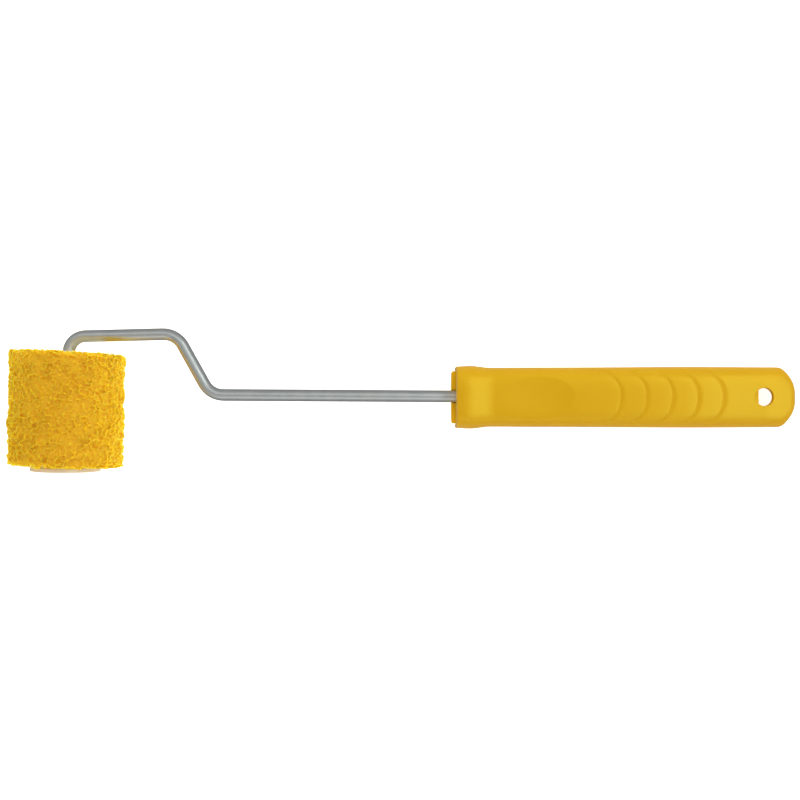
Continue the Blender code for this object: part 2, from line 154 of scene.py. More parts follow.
def new_object(name, mesh, material=None):
    """The mesh as an object of the scene, with that one material."""
    thing = bpy.data.objects.new(name, mesh)
    bpy.context.scene.collection.objects.link(thing)
    if material is not None:
        mesh.materials.clear()
        mesh.materials.append(material)
    return thing


def quads_between(index):
    """The quads that join each row of point numbers to the next, closed round the rows."""
    following = np.roll(index, -1, axis=1)
    quads = np.stack([index[:-1], following[:-1], following[1:], index[1:]], axis=-1)
    return quads.reshape(-1, 4).tolist()


def grid_mesh(name, rings):
    """A mesh through rings, an array of rings x points x 3, with a flat cap at each end."""
    count, width = rings.shape[:2]
    index = np.arange(count * width).reshape(count, width)
    faces = quads_between(index) + [index[0, ::-1].tolist(), index[-1].tolist()]
    mesh = bpy.data.meshes.new(name)
    mesh.from_pydata(rings.reshape(-1, 3).tolist(), [], faces)
    outward(mesh)
    return mesh


def outward(mesh):
    """Turns the mesh's faces to look outward."""
    bm = bmesh.new()
    bm.from_mesh(mesh)
    bmesh.ops.recalc_face_normals(bm, faces=bm.faces)
    bm.to_mesh(mesh)
    bm.free()


def mesh_of(name, bm):
    """A new mesh of what bm holds. It frees bm."""
    mesh = bpy.data.meshes.new(name)
    bm.to_mesh(mesh)
    bm.free()
    return mesh


def shade(mesh, angle=SHARP_ANGLE):
    mesh.shade_smooth()
    mesh.set_sharp_from_angle(angle=math.radians(angle))


def cylinder(name, radius, start, end, segments=48):
    """A closed cylinder whose flat ends are centred on start and end."""
    start, end = Vector(start), Vector(end)
    bm = bmesh.new()
    bmesh.ops.create_cone(
        bm,
        cap_ends=True,
        segments=segments,
        radius1=radius,
        radius2=radius,
        depth=(end - start).length,
    )
    turn = (end - start).to_track_quat("Z", "Y").to_matrix().to_4x4()
    bm.transform(Matrix.Translation((start + end) / 2) @ turn)
    return mesh_of(name, bm)


def box(name, low, high):
    """A closed box between its lowest and highest corners."""
    bm = bmesh.new()
    bmesh.ops.create_cube(bm, size=1.0)
    low, high = Vector(low), Vector(high)
    bm.transform(Matrix.Translation((low + high) / 2) @ Matrix.Diagonal((*(high - low), 1.0)))
    return mesh_of(name, bm)


def rounded(profile, radius, steps=4):
    """The closed profile with each corner rounded, to less than the radius on a short side."""
    most_of_side = 0.45
    points = [Vector(point) for point in profile]
    smooth = []
    for i, corner in enumerate(points):
        back = points[i - 1] - corner
        ahead = points[(i + 1) % len(points)] - corner
        reach = min(radius, back.length * most_of_side, ahead.length * most_of_side)
        first = corner + back.normalized() * reach
        last = corner + ahead.normalized() * reach
        for k in range(steps + 1):
            t = k / steps
            smooth.append(first * (1 - t) ** 2 + corner * (2 * t * (1 - t)) + last * t**2)
    return smooth


def turned(name, profile, steps=128):
    """A closed ring mesh turned about Z from a closed (radius, height) profile."""
    angles = np.linspace(0, 2 * math.pi, steps, endpoint=False)
    profile = np.array([tuple(point) for point in profile])
    rings = np.empty((steps, len(profile), 3))
    rings[..., 0] = np.cos(angles)[:, None] * profile[:, 0]
    rings[..., 1] = np.sin(angles)[:, None] * profile[:, 0]
    rings[..., 2] = profile[:, 1]
    index = np.arange(steps * len(profile)).reshape(steps, len(profile))
    index = np.concatenate([index, index[:1]])
    mesh = bpy.data.meshes.new(name)
    mesh.from_pydata(rings.reshape(-1, 3).tolist(), [], quads_between(index))
    outward(mesh)
    return mesh


def spun_solid(name, profile, steps=96):
    """A closed solid turned about Z from an open profile that starts and ends on the axis."""
    bm = bmesh.new()
    loops = []
    for radius, height in profile:
        if radius == 0.0:
            loops.append([bm.verts.new((0.0, 0.0, height))])
            continue
        ring = []
        for k in range(steps):
            angle = 2 * math.pi * k / steps
            ring.append(bm.verts.new((radius * math.cos(angle), radius * math.sin(angle), height)))
        loops.append(ring)
    for here, there in zip(loops, loops[1:]):
        for k in range(steps):
            a, b = here[k % len(here)], here[(k + 1) % len(here)]
            c, d = there[(k + 1) % len(there)], there[k % len(there)]
            corners = (a, b, c, d)
            bm.faces.new([v for i, v in enumerate(corners) if v not in corners[:i]])
    bmesh.ops.recalc_face_normals(bm, faces=bm.faces)
    return mesh_of(name, bm)


def applied(thing):
    """The object's evaluated mesh, in place of its own mesh and modifiers."""
    graph = bpy.context.evaluated_depsgraph_get()
    mesh = bpy.data.meshes.new_from_object(thing.evaluated_get(graph), depsgraph=graph)
    thing.modifiers.clear()
    thing.data = mesh
    return mesh


def combine(thing, meshes, operation):
    """One Boolean of the object with all the meshes, applied."""
    tools = bpy.data.collections.new("tools")
    bpy.context.scene.collection.children.link(tools)
    others = []
    for mesh in meshes:
        other = bpy.data.objects.new(mesh.name, mesh)
        tools.objects.link(other)
        others.append(other)
    modifier = thing.modifiers.new(operation, "BOOLEAN")
    modifier.operation = operation
    modifier.solver = "MANIFOLD"
    modifier.operand_type = "COLLECTION"
    modifier.collection = tools
    applied(thing)
    for other in others:
        bpy.data.objects.remove(other)
    bpy.data.collections.remove(tools)


def place(thing, matrix, body, *nodes, slot=None):
    """Puts the finished piece in the row frame, hangs it on its body and hides the CAD parts it
    stands in for.
    """
    thing.data.transform(matrix)
    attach(thing, body)
    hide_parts(*nodes)


# ------------------------------------------------------------------------ the handle's form


def ease(t):
    """A smooth step from 0 to 1 as t does the same."""
    t = np.clip(t, 0.0, 1.0)
    return t * t * (3 - 2 * t)


def interpolate(table, x):
    """Eases between the table's rows, which are in millimetres, at x in metres."""
    place_mm = x / MM
    for (x0, v0), (x1, v1) in zip(table, table[1:]):
        if place_mm <= x1:
            t = max(0.0, (place_mm - x0) / (x1 - x0))
            return (v0 + (v1 - v0) * t * t * (3 - 2 * t)) * MM
    return table[-1][1] * MM


def tail_reach(x, inset):
    """How far the round tail's outline lies from the middle line."""
    radius = TAIL_RADIUS - inset
    along = x - (HANDLE_LENGTH - TAIL_RADIUS)
    return math.sqrt(max(0.0, radius * radius - along * along)) if along > 0 else radius


def half_width(x, inset=0.0):
    """Half of the front shell's width, blended from its sides into its round tail."""
    straight = interpolate(HALF_WIDTHS, x) - inset
    reach = tail_reach(x, inset)
    blend = 1.0 * MM
    share = max(0.0, min(1.0, 0.5 + 0.5 * (reach - straight) / blend))
    return reach + (straight - reach) * share - blend * share * (1 - share)


def mouth_inset(x):
    """How far the rounding of the mouth's edge draws the surface in."""
    if x >= MOUTH_EDGE_RADIUS or x < 0:
        return 0.0
    return MOUTH_EDGE_RADIUS - math.sqrt(MOUTH_EDGE_RADIUS**2 - (MOUTH_EDGE_RADIUS - x) ** 2)


def crown_height(x):
    """The front's height at its middle, which drops into the tail's rounded edge."""
    t = max(0.0, (x - (HANDLE_LENGTH - TAIL_EDGE_RADIUS)) / TAIL_EDGE_RADIUS)
    return interpolate(CROWN_HEIGHTS, x) * (1 - TAIL_DROP * min(1.0, t) ** 4)


def resampled(points, count):
    """As many points as asked, evenly spaced along the open line."""
    steps = np.linalg.norm(np.diff(points, axis=0), axis=1)
    reach = np.concatenate([[0.0], np.cumsum(steps)])
    wanted = np.linspace(0.0, reach[-1], count)
    columns = [np.interp(wanted, reach, column) for column in points.T]
    return np.stack(columns, axis=1)


def front_line(x, inset, roof, bottom, edge, count):
    """The (y, z) line of the front shell's section, from one bottom edge over to the other."""
    width = half_width(x, inset) - mouth_inset(x)
    height = crown_height(x) - roof - mouth_inset(x)
    angle = np.linspace(math.pi, 0.0, CROWN_SAMPLES)
    across = np.sign(np.cos(angle)) * np.abs(np.cos(angle)) ** (2 / CROWN_EXPONENT)
    up = np.abs(np.sin(angle)) ** (2 / CROWN_EXPONENT)
    crown = np.stack([width * across, height * up], axis=1)
    if edge > 0:
        edge = min(edge, width * 0.5)
        round_angle = np.linspace(0, math.pi / 2, 5)
        across = -width + edge - edge * np.sin(round_angle)
        up = bottom + edge - edge * np.cos(round_angle)
        left = np.stack([across, up], axis=1)
        right = left[::-1] * (-1, 1)
    else:
        left = np.array([[-width, bottom]])
        right = np.array([[width, bottom]])
    return resampled(np.concatenate([left, crown, right]), count)


def stations(start, end, step, tail_step=2, fine=(0.0, 0.0)):
    """Places along the handle, closer together round the mouth's edge and the round tail."""
    places = {start, end}
    places.update(np.arange(0.0, HANDLE_LENGTH, step))
    places.update(np.arange(*fine, step / 2))
    places.update(MOUTH_EDGE_RADIUS * (1 - math.cos(math.radians(a))) for a in range(0, 90, 15))
    centre = HANDLE_LENGTH - TAIL_RADIUS
    places.update(centre + TAIL_RADIUS * math.cos(math.radians(a)) for a in range(1, 50, tail_step))
    close = 0.03 * MM
    kept = [start]
    for x in sorted(places):
        if x > kept[-1] + close and x < end - close:
            kept.append(x)
    return kept + [end]


# Front relief: a thumb dish behind the collar and overlapping finger scales towards the tail.
SCALE_RADIUS = 13.6 * MM
SCALE_FIRST = 71.6 * MM
SCALE_PITCH = 11.38 * MM
SCALE_COUNT = 5
SCALE_STEP = 0.55 * MM
SCALE_RISE = 2.5 * MM
SCALE_DEPTH = 0.37 * MM
SCALE_DROOP = 0.1 * MM
SCALE_DROOP_LENGTH = 5.0 * MM
SCALE_FADE = (11.2 * MM, 12.8 * MM)
SCALE_NARROWING = 0.3
SCALE_FLATTEST = 0.12
DISH_START = 16.0 * MM
DISH_CENTRE = 38.0 * MM
DISH_END = 52.0 * MM
DISH_HALF_WIDTH = 9.2 * MM
DISH_DEPTH = 1.0 * MM
DISH_RIM = 0.03
RELIEF_MARGIN = 1.2 * MM


def relief(x, y):
    """How far the front's surface sinks below its plain crown at (x, y) arrays."""
    inside = np.clip(SCALE_RADIUS**2 - y**2, (SCALE_FLATTEST * SCALE_RADIUS) ** 2, None)
    along = x + SCALE_RADIUS - np.sqrt(inside)
    phase = along - SCALE_FIRST
    number = np.floor(phase / SCALE_PITCH)
    local = phase - number * SCALE_PITCH
    reach = SCALE_RISE * (1 - SCALE_NARROWING * np.clip(np.abs(y) / SCALE_FADE[1], 0, 1) ** 2)
    step = ease(local / SCALE_STEP)
    rise = np.clip((local - SCALE_STEP) / reach, 0, 1)
    groove = SCALE_DEPTH * step * (1 - rise) ** 2
    groove = np.where((number >= 0) & (number < SCALE_COUNT), groove, 0.0)
    before = np.clip((local - SCALE_PITCH + SCALE_DROOP_LENGTH) / SCALE_DROOP_LENGTH, 0, 1)
    after = np.clip(1 - local / SCALE_STEP, 0, 1)
    droop = SCALE_DROOP * before**2 * ((number >= -1) & (number < SCALE_COUNT - 1))
    droop = droop + SCALE_DROOP * after * ((number >= 0) & (number < SCALE_COUNT))
    fade = 1 - ease((np.abs(y) - SCALE_FADE[0]) / (SCALE_FADE[1] - SCALE_FADE[0]))

    down = ease((x - DISH_START) / (DISH_CENTRE - DISH_START))
    beyond = np.clip((x - DISH_CENTRE) / (DISH_END - DISH_CENTRE), 0, None)
    bowl = np.clip(1 - (y / DISH_HALF_WIDTH) ** 2 - beyond**2, 0, 1)
    soft_bowl = bowl**2 / (bowl + DISH_RIM) * (1 + DISH_RIM)
    return (groove + droop) * fade + DISH_DEPTH * down * soft_bowl


def wire_line(x):
    """Where the middle of the shank lies across the handle at x."""
    slope = SHANK_CORNER[1] / (SHANK_CORNER[0] - WIRE_END)
    return slope * (x - WIRE_END)


def chambers():
    """The start and end of each hollow between the ribs."""
    walls = [SHELL_WALL - HALF_RIB, *RIB_CENTRES]
    ends = walls[1:] + [LONG_CHAMBER_END + HALF_RIB]
    return [(a + HALF_RIB, b - HALF_RIB) for a, b in zip(walls, ends)]


def wire_channel():
    """The cutter that leaves room for the shank in both shells."""
    start, end = ((x, wire_line(x), 0.0) for x in (EARS_START - EARS_TAPER, -BEYOND))
    return cylinder("wire_channel", WIRE_RADIUS + GAP, start, end)


def loft_line(name, places, line):
    """A closed loft of (y, z) lines, one for each place along the handle."""
    rings = []
    for x in places:
        points = line(x)
        rings.append(np.concatenate([np.full((len(points), 1), x), points], axis=1))
    return grid_mesh(name, np.array(rings))


def hanging_hole():
    """The hole's cutter, wider at both of the web's faces, so that its edges come out round."""
    top = crown_height(HANGING_HOLE_CENTRE)
    wide = HANGING_HOLE_RADIUS + HANGING_HOLE_LIP
    web_bottom = top - HANGING_WEB - 0.1 * MM
    profile = [
        (0.0, -BEYOND),
        (wide, -BEYOND),
        (wide, web_bottom),
        (HANGING_HOLE_RADIUS, web_bottom + HANGING_HOLE_LIP),
    ]
    steps = 5
    for k in range(steps + 1):
        angle = math.pi / 2 * k / steps
        radius = wide - HANGING_HOLE_LIP * math.cos(angle)
        profile.append((radius, top - HANGING_HOLE_LIP * (1 - math.sin(angle))))
    profile += [(wide, top + BEYOND), (0.0, top + BEYOND)]
    hole = spun_solid("hanging_hole", profile)
    hole.transform(Matrix.Translation((HANGING_HOLE_CENTRE, 0.0, 0.0)))
    return hole


def front_shell(material):
    """The front moulding, with its relief, skirt, ribs, pins and hanging web."""
    outline_end = HANDLE_LENGTH - 0.02 * MM
    carved = (60 * MM, 124 * MM)
    rings = []
    for x in stations(0.0, outline_end, 0.5 * MM, fine=carved):
        line = front_line(x, 0.0, 0.0, -SKIRT_DEPTH, SKIRT_EDGE_RADIUS, SECTION_POINTS)
        width = half_width(x)
        on_top = ease((width - np.abs(line[:, 0])) / RELIEF_MARGIN) * (line[:, 1] > 0)
        line[:, 1] -= relief(np.full(len(line), x), line[:, 0]) * on_top
        rings.append(np.concatenate([np.full((len(line), 1), x), line], axis=1))
    shell = new_object("front_shell", grid_mesh("front_shell", np.array(rings)), material)

    tail_inside = HANDLE_LENGTH - SHELL_WALL
    flare = 0.35 * MM

    def pocket_line(x):
        width = half_width(x, SHELL_WALL)
        side = [
            (-width - flare - BEYOND, -SKIRT_DEPTH - BEYOND),
            (-width, -SKIRT_DEPTH + flare),
            (-width, HALF_GAP),
        ]
        return np.array(side + [(-y, z) for y, z in side[::-1]])

    def chamber_line(x):
        return front_line(x, SHELL_WALL, SHELL_WALL, -GAP, 0.0, CHAMBER_POINTS)

    def scoop_line(x):
        return front_line(x, SHELL_WALL, HANGING_WEB, -GAP, 0.0, SCOOP_POINTS)

    places = stations(-BEYOND, tail_inside - 0.1 * MM, 2 * MM, 4)
    cutters = [loft_line("pocket", places, pocket_line)]
    for number, (start, end) in enumerate(chambers()):
        places = stations(start, end, 4 * MM, 8)
        cutters.append(loft_line(f"chamber_{number}", places, chamber_line))
    places = stations(LONG_CHAMBER_END - HALF_RIB, tail_inside - GAP, 1 * MM, 3)
    cutters.append(loft_line("tail_scoop", places, scoop_line))
    cutters.append(wire_channel())
    cutters.append(hanging_hole())
    combine(shell, cutters, "DIFFERENCE")

    pins = []
    for number, x in enumerate(PIN_PLACES):
        top = (x, 0.0, crown_height(x) - SHELL_WALL / 2)
        pins.append(cylinder(f"pin_{number}", PIN_RADIUS, (x, 0.0, PIN_END), top, PIN_SIDES))
    combine(shell, pins, "UNION")
    shade(shell.data)
    place(shell, TOOL, "tool", "handle_front_shell")


def back_line(x, inset, top, segments=10):
    """The (y, z) line of the back shell's section, down one side, across and up the other."""
    width = interpolate(HALF_WIDTHS, max(x, 0.0)) - SHELL_WALL - GAP - inset
    depth = BACK_DEPTH - inset
    radius = BACK_EDGE_RADIUS - inset
    angle = np.linspace(0, math.pi / 2, segments + 1)
    across = width - radius + radius * np.cos(angle)
    up = radius - depth - radius * np.sin(angle)
    right = np.concatenate([[[width, top]], np.stack([across, up], axis=1)])
    return np.concatenate([right * (-1, 1), right[::-1]])


def back_shell(material):
    """The back moulding: a trough nested in the skirt, with rounded ends."""
    edge = 1.2 * MM
    widest = 14 * MM
    steps = 6
    ends = [edge * (1 - math.cos(math.pi / 2 * k / steps)) for k in range(1, steps + 1)]
    places = [-BACK_LIP] + [-BACK_LIP + e for e in ends]
    places += list(np.arange(2 * MM, BACK_END - 2 * MM, 2 * MM))
    places += [BACK_END - e for e in ends[::-1]] + [BACK_END]

    def line(x):
        points = back_line(x, 0.0, -HALF_GAP)
        into_edge = max(0.0, edge - min(x + BACK_LIP, BACK_END - x))
        shrink = edge - math.sqrt(max(0.0, edge**2 - into_edge**2))
        sunk = np.clip(points[:, 1] + BACK_DEPTH, 0, None)
        low = ease(1 - sunk / BACK_DEPTH)
        points[:, 1] += shrink * low
        points[:, 0] *= 1 - shrink / widest * (0.3 + 0.7 * low)
        return points

    def chamber_line(x):
        return back_line(x, SHELL_WALL, BEYOND, 6)

    shell = new_object("back_shell", loft_line("back_shell", places, line), material)
    cutters = []
    for number, (start, end) in enumerate(chambers()):
        places = np.linspace(max(start, GAP), end, 6)
        cutters.append(loft_line(f"chamber_{number}", places, chamber_line))
    combine(shell, cutters, "DIFFERENCE")

    low = (BACK_TAB[0], -BACK_TAB_HALF_WIDTH, -BEYOND)
    high = (BACK_TAB[1], BACK_TAB_HALF_WIDTH, BACK_TAB_TOP)
    added = [box("tab", low, high)]
    for number, x in enumerate(PIN_PLACES):
        bottom = (x, 0.0, -BACK_DEPTH + SHELL_WALL / 2)
        top = (x, 0.0, -HALF_GAP)
        added.append(cylinder(f"boss_{number}", BOSS_RADIUS, bottom, top, PIN_SIDES))
    combine(shell, added, "UNION")

    cutters = [wire_channel()]
    for number, x in enumerate(PIN_PLACES):
        bottom = (x, 0.0, PIN_END - 2 * GAP)
        top = (x, 0.0, BEYOND)
        cutters.append(cylinder(f"socket_{number}", PIN_RADIUS + GAP, bottom, top, PIN_SIDES))
    combine(shell, cutters, "DIFFERENCE")
    shade(shell.data)
    place(shell, TOOL, "tool", "handle_back_shell")


# ---------------------------------------------------------------------------- wire frame


BEND_NARROWING = 0.02
BEND_THICKENING = 0.015
EARS_WIDENING = 0.48
EARS_THINNING = 0.4
EARS_REACH = 3 * MM
TIP_LENGTH = 0.6 * MM
TIP_NARROWING = 0.28


def bent_route(corners, radii):
    """Points along the wire's middle line, and how far into a bend each lies, from 0 to 1."""
    route = []
    bend = []

    def run(start, end):
        count = max(1, math.ceil((end - start).length / RUN_SPACING))
        for k in range(count):
            route.append(start.lerp(end, k / count))
            bend.append(0.0)

    here = Vector(corners[0])
    for before, corner, after, radius in zip(corners, corners[1:], corners[2:], radii):
        corner = Vector(corner)
        back = (Vector(before) - corner).normalized()
        ahead = (Vector(after) - corner).normalized()
        half_angle = back.angle(ahead) / 2
        centre = corner + (back + ahead).normalized() * (radius / math.sin(half_angle))
        first = corner + back * (radius / math.tan(half_angle))
        run(here, first)
        turn = math.pi - 2 * half_angle
        normal = (first - centre).cross(ahead).normalized()
        steps = math.ceil(radius * turn / BEND_SPACING)
        for k in range(steps):
            route.append(centre + Matrix.Rotation(turn * k / steps, 3, normal) @ (first - centre))
            bend.append(math.sin(math.pi * k / steps) ** 0.5)
        here = corner + ahead * (radius / math.tan(half_angle))
    run(here, Vector(corners[-1]))
    route.append(Vector(corners[-1]))
    bend.append(0.0)
    return np.array(route), np.array(bend)


def frame_wire(material):
    """The bent wire: chamfered axle tip, bends a little flattened, ears at the handle end."""
    axle = Vector((math.sin(ROLLER_LEAN), math.cos(ROLLER_LEAN), 0.0))
    corners = [
        ROLLER_CENTRE + axle * AXLE_TIP_FROM_CENTRE,
        ROLLER_CENTRE + axle * AXLE_CORNER_FROM_CENTRE,
        (*CROSS_ARM_CORNER, 0.0),
        (*SHANK_CORNER, 0.0),
        (WIRE_END, 0.0, 0.0),
    ]
    route, bend = bent_route(corners, [AXLE_BEND_RADIUS, FRAME_BEND_RADIUS, FRAME_BEND_RADIUS])
    tangent = np.gradient(route, axis=0)
    tangent /= np.linalg.norm(tangent, axis=1)[:, None]
    side = np.stack([-tangent[:, 1], tangent[:, 0], np.zeros(len(route))], axis=1)
    along = np.concatenate([[0.0], np.cumsum(np.linalg.norm(np.diff(route, axis=0), axis=1))])

    angle = np.linspace(0, 2 * math.pi, WIRE_SIDES, endpoint=False)
    ears = ease((route[:, 0] - (EARS_START - EARS_TAPER)) / EARS_TAPER)
    ears *= np.abs(route[:, 1]) < EARS_REACH
    wide = WIRE_RADIUS * (1 - BEND_NARROWING * bend) * (1 + EARS_WIDENING * ears)
    thick = WIRE_RADIUS * (1 + BEND_THICKENING * bend) * (1 - EARS_THINNING * ears)
    chamfer = np.clip(1 - (along / TIP_LENGTH), 0, 1) * TIP_NARROWING
    wide *= 1 - chamfer
    thick *= 1 - chamfer
    up = np.array([0.0, 0.0, 1.0])
    rings = (
        route[:, None]
        + side[:, None] * (wide[:, None] * np.cos(angle))[..., None]
        + up * (thick[:, None] * np.sin(angle))[..., None]
    )
    chamfer_end = route[0] + tangent[0] * TIP_LENGTH + (rings[1:2] - route[1])
    rings = np.concatenate([rings[:1], chamfer_end, rings[1:]])
    mesh = grid_mesh("wire", rings)
    shade(mesh, WIRE_SHARP_ANGLE)
    lengths = np.concatenate([[0.0, TIP_LENGTH], along[1:]])
    grain = mesh.attributes.new("grain", "FLOAT_VECTOR", "POINT")
    values = np.empty((len(rings), WIRE_SIDES, 3))
    values[..., 0] = lengths[:, None]
    values[..., 1] = WIRE_RADIUS * np.cos(angle)
    values[..., 2] = WIRE_RADIUS * np.sin(angle)
    grain.data.foreach_set("vector", values.astype(np.float32).ravel())
    place(new_object("bent_wire", mesh, material), TOOL, "tool", "frame_wire")


# -------------------------------------------------------------------------------- roller


AXLE_BORE = WIRE_RADIUS + GAP
SPIGOT_RADIUS = CORE_OUTER_RADIUS - CORE_WALL - GAP


def tube(outer, inner, top, bottom):
    """The profile of a plain ring or tube."""
    return [(outer, top), (outer, bottom), (inner, bottom), (inner, top)]


def turned_piece(name, profile, radius, material, body, node, slot=None, steps=128):
    """A piece turned about the axle, with its corners rounded to the radius."""
    mesh = turned(name, rounded(profile, radius), steps)
    shade(mesh)
    place(new_object(name, mesh, material), ROLLER, body, node, slot=slot)


def core_tube(material):
    half = SLEEVE_LENGTH / 2
    profile = tube(CORE_OUTER_RADIUS, CORE_OUTER_RADIUS - CORE_WALL, half, -half)
    turned_piece("core", profile, 0.4 * MM, material, "roller", "core_tube")


def outer_cap(material):
    """The outer cap: a flange, a thin skirt in the core, a sunk web and the bearing hub."""
    spigot_end = -15.0 * MM
    spigot_bore = SPIGOT_RADIUS - CAP_WALL
    seat = -SLEEVE_LENGTH / 2 - GAP
    face = seat - CAP_FLANGE_THICKNESS
    dome = 0.2 * MM
    recess_floor = face + NUT_RECESS_DEPTH
    web_top = recess_floor + CAP_WALL
    wall_outside = NUT_RECESS_RADIUS + CAP_WALL
    inner_seat = seat - 0.5 * MM
    profile = [
        (SPIGOT_RADIUS, spigot_end),
        (SPIGOT_RADIUS, seat),
        (CAP_FLANGE_RADIUS, seat),
        (CAP_FLANGE_RADIUS, face),
        (NUT_RECESS_RADIUS, face - dome),
        (NUT_RECESS_RADIUS, recess_floor),
        (AXLE_BORE, recess_floor),
        (AXLE_BORE, spigot_end),
        (HUB_RADIUS, spigot_end),
        (HUB_RADIUS, web_top),
        (wall_outside, web_top),
        (wall_outside, inner_seat),
        (spigot_bore, inner_seat),
        (spigot_bore, spigot_end),
    ]
    mesh = turned("cap", rounded(profile, 0.55 * MM))
    shade(mesh)
    place(new_object("outer_cap", mesh, material), ROLLER, "roller", "outer_end_cap")


def inner_cap(material):
    """The inner cap: a plug with a rim round a recessed face, and the bearing hub."""
    spigot_end = 9.0 * MM
    spigot_bore = SPIGOT_RADIUS - CAP_WALL
    hub_end = 12.0 * MM
    rim = INNER_HUB_FACE + 0.8 * MM
    web_face = INNER_HUB_FACE - 0.6 * MM
    web_under = web_face - CAP_WALL
    profile = [
        (SPIGOT_RADIUS, rim),
        (SPIGOT_RADIUS, spigot_end),
        (spigot_bore, spigot_end),
        (spigot_bore, web_under),
        (HUB_RADIUS, web_under),
        (HUB_RADIUS, hub_end),
        (AXLE_BORE, hub_end),
        (AXLE_BORE, INNER_HUB_FACE),
        (HUB_RADIUS + 0.5 * MM, INNER_HUB_FACE),
        (HUB_RADIUS + 1.0 * MM, web_face),
        (spigot_bore - 0.5 * MM, web_face),
        (spigot_bore, rim),
    ]
    turned_piece("inner_cap", profile, 0.4 * MM, material, "roller", "inner_end_cap")


def axle_fittings(steel, nylon):
    """What sits on the axle and doesn't turn: two thrust washers, the stop ring and the nut."""
    grip = WIRE_RADIUS + 0.2 * MM
    washer = 0.7 * MM

    def ring(name, profile, radius, material, node, slot):
        turned_piece(name, profile, radius, material, "tool", node, slot, 96)

    bottom = INNER_HUB_FACE + GAP
    top = bottom + washer
    profile = tube(HUB_RADIUS, AXLE_BORE, top, bottom)
    ring("inner_washer", profile, 0.15 * MM, nylon, "inner_thrust_washer", "thrust_washer")

    bottom = top + GAP
    top = bottom + 2.5 * MM
    profile = tube(4.6 * MM, grip, top, bottom)
    ring("stop_ring", profile, 0.4 * MM, steel, "axle_stop_ring", "axle_stop_ring")

    recess_floor = -SLEEVE_LENGTH / 2 - GAP - CAP_FLANGE_THICKNESS + NUT_RECESS_DEPTH
    top = recess_floor - GAP
    bottom = top - washer
    profile = tube(HUB_RADIUS, AXLE_BORE, top, bottom)
    ring("outer_washer", profile, 0.15 * MM, nylon, "outer_thrust_washer", "thrust_washer")

    top = bottom - GAP
    sheet = 0.5 * MM
    nut_radius = 5.8 * MM
    dish_radius = 4.4 * MM
    dish_drop = 0.9 * MM
    profile = [
        (nut_radius, top),
        (nut_radius, top - sheet),
        (dish_radius, top - sheet),
        (grip, top - sheet - dish_drop),
        (grip, top - dish_drop),
        (dish_radius, top),
    ]
    ring("push_nut_ring", profile, 0.12 * MM, steel, "push_nut", "push_nut")


# ---------------------------------------------------------------------------------- foam


FOAM_CELL = 2.1 * MM
FOAM_RANDOM = 0.95
FOAM_WALL = 0.42 * MM
FOAM_SHELL = 1.15 * MM
FOAM_VOXEL = 0.29 * MM
FOAM_MARGIN = 1.5 * MM
FOAM_SURFACE = 24.6 * MM
FOAM_SKEW = 0.022
FOAM_ADAPTIVITY = 0.1
FOAM_SOFTENING = 2
CRUMB_FACES = 4000

# A window's radius in cells, and how much wider it gets in a flat wall or deep down.
FOAM_WINDOW = 0.42
FOAM_WINDOW_FLAT = 0.35
FOAM_WINDOW_DEEP = 0.14
FLAT_WALL = (0.5, 0.85)

# Unevenness: how many times a metre it repeats, and how far it reaches.
FOAM_SWELL = (210.0, 3.4 * MM)
FOAM_FRAY = (900.0, 0.8 * MM)
FOAM_PATCH = (330.0, 0.5 * MM)
FOAM_CURL = (420.0, 1.4 * MM)

# How softly the foam's surfaces run into each other.
SLEEVE_EDGE_BLEND = 1.0 * MM
STRUT_BLEND = 0.2 * MM
BACKING_BLEND = 0.4 * MM
SURFACE_BLEND = 0.45 * MM


class Nodes:
    """Short calls for building a node tree."""

    def __init__(self, tree):
        self.tree = tree

    def add(self, kind, **settings):
        node = self.tree.nodes.new(kind)
        for key, value in settings.items():
            setattr(node, key, value)
        return node

    def feed(self, socket, value):
        if isinstance(value, bpy.types.NodeSocket):
            self.tree.links.new(value, socket)
        else:
            socket.default_value = value

    def math(self, operation, *values):
        node = self.add("ShaderNodeMath", operation=operation)
        for socket, value in zip(node.inputs, values):
            self.feed(socket, value)
        return node.outputs[0]

    def vector(self, operation, *values):
        """The operation's vector, or its number where it gives one."""
        node = self.add("ShaderNodeVectorMath", operation=operation)
        for socket, value in zip(node.inputs, values):
            self.feed(socket, value)
        return node.outputs["Value" if operation in ("DOT_PRODUCT", "LENGTH") else "Vector"]


def mapped(n, value, low, high, out_low, out_high):
    """The value, moved from the range low to high into the range out_low to out_high."""
    node = n.add("ShaderNodeMapRange")
    for socket, setting in zip(node.inputs, (value, low, high, out_low, out_high)):
        n.feed(socket, setting)
    return node.outputs[0]


def noise(n, vector, scale, detail=2.0, roughness=0.5, output="Fac"):
    """Noise from 0 to 1 that repeats about scale times a metre."""
    node = n.add("ShaderNodeTexNoise", noise_dimensions="3D")
    n.feed(node.inputs["Vector"], vector)
    n.feed(node.inputs["Scale"], scale)
    n.feed(node.inputs["Detail"], detail)
    n.feed(node.inputs["Roughness"], roughness)
    return node.outputs[output]


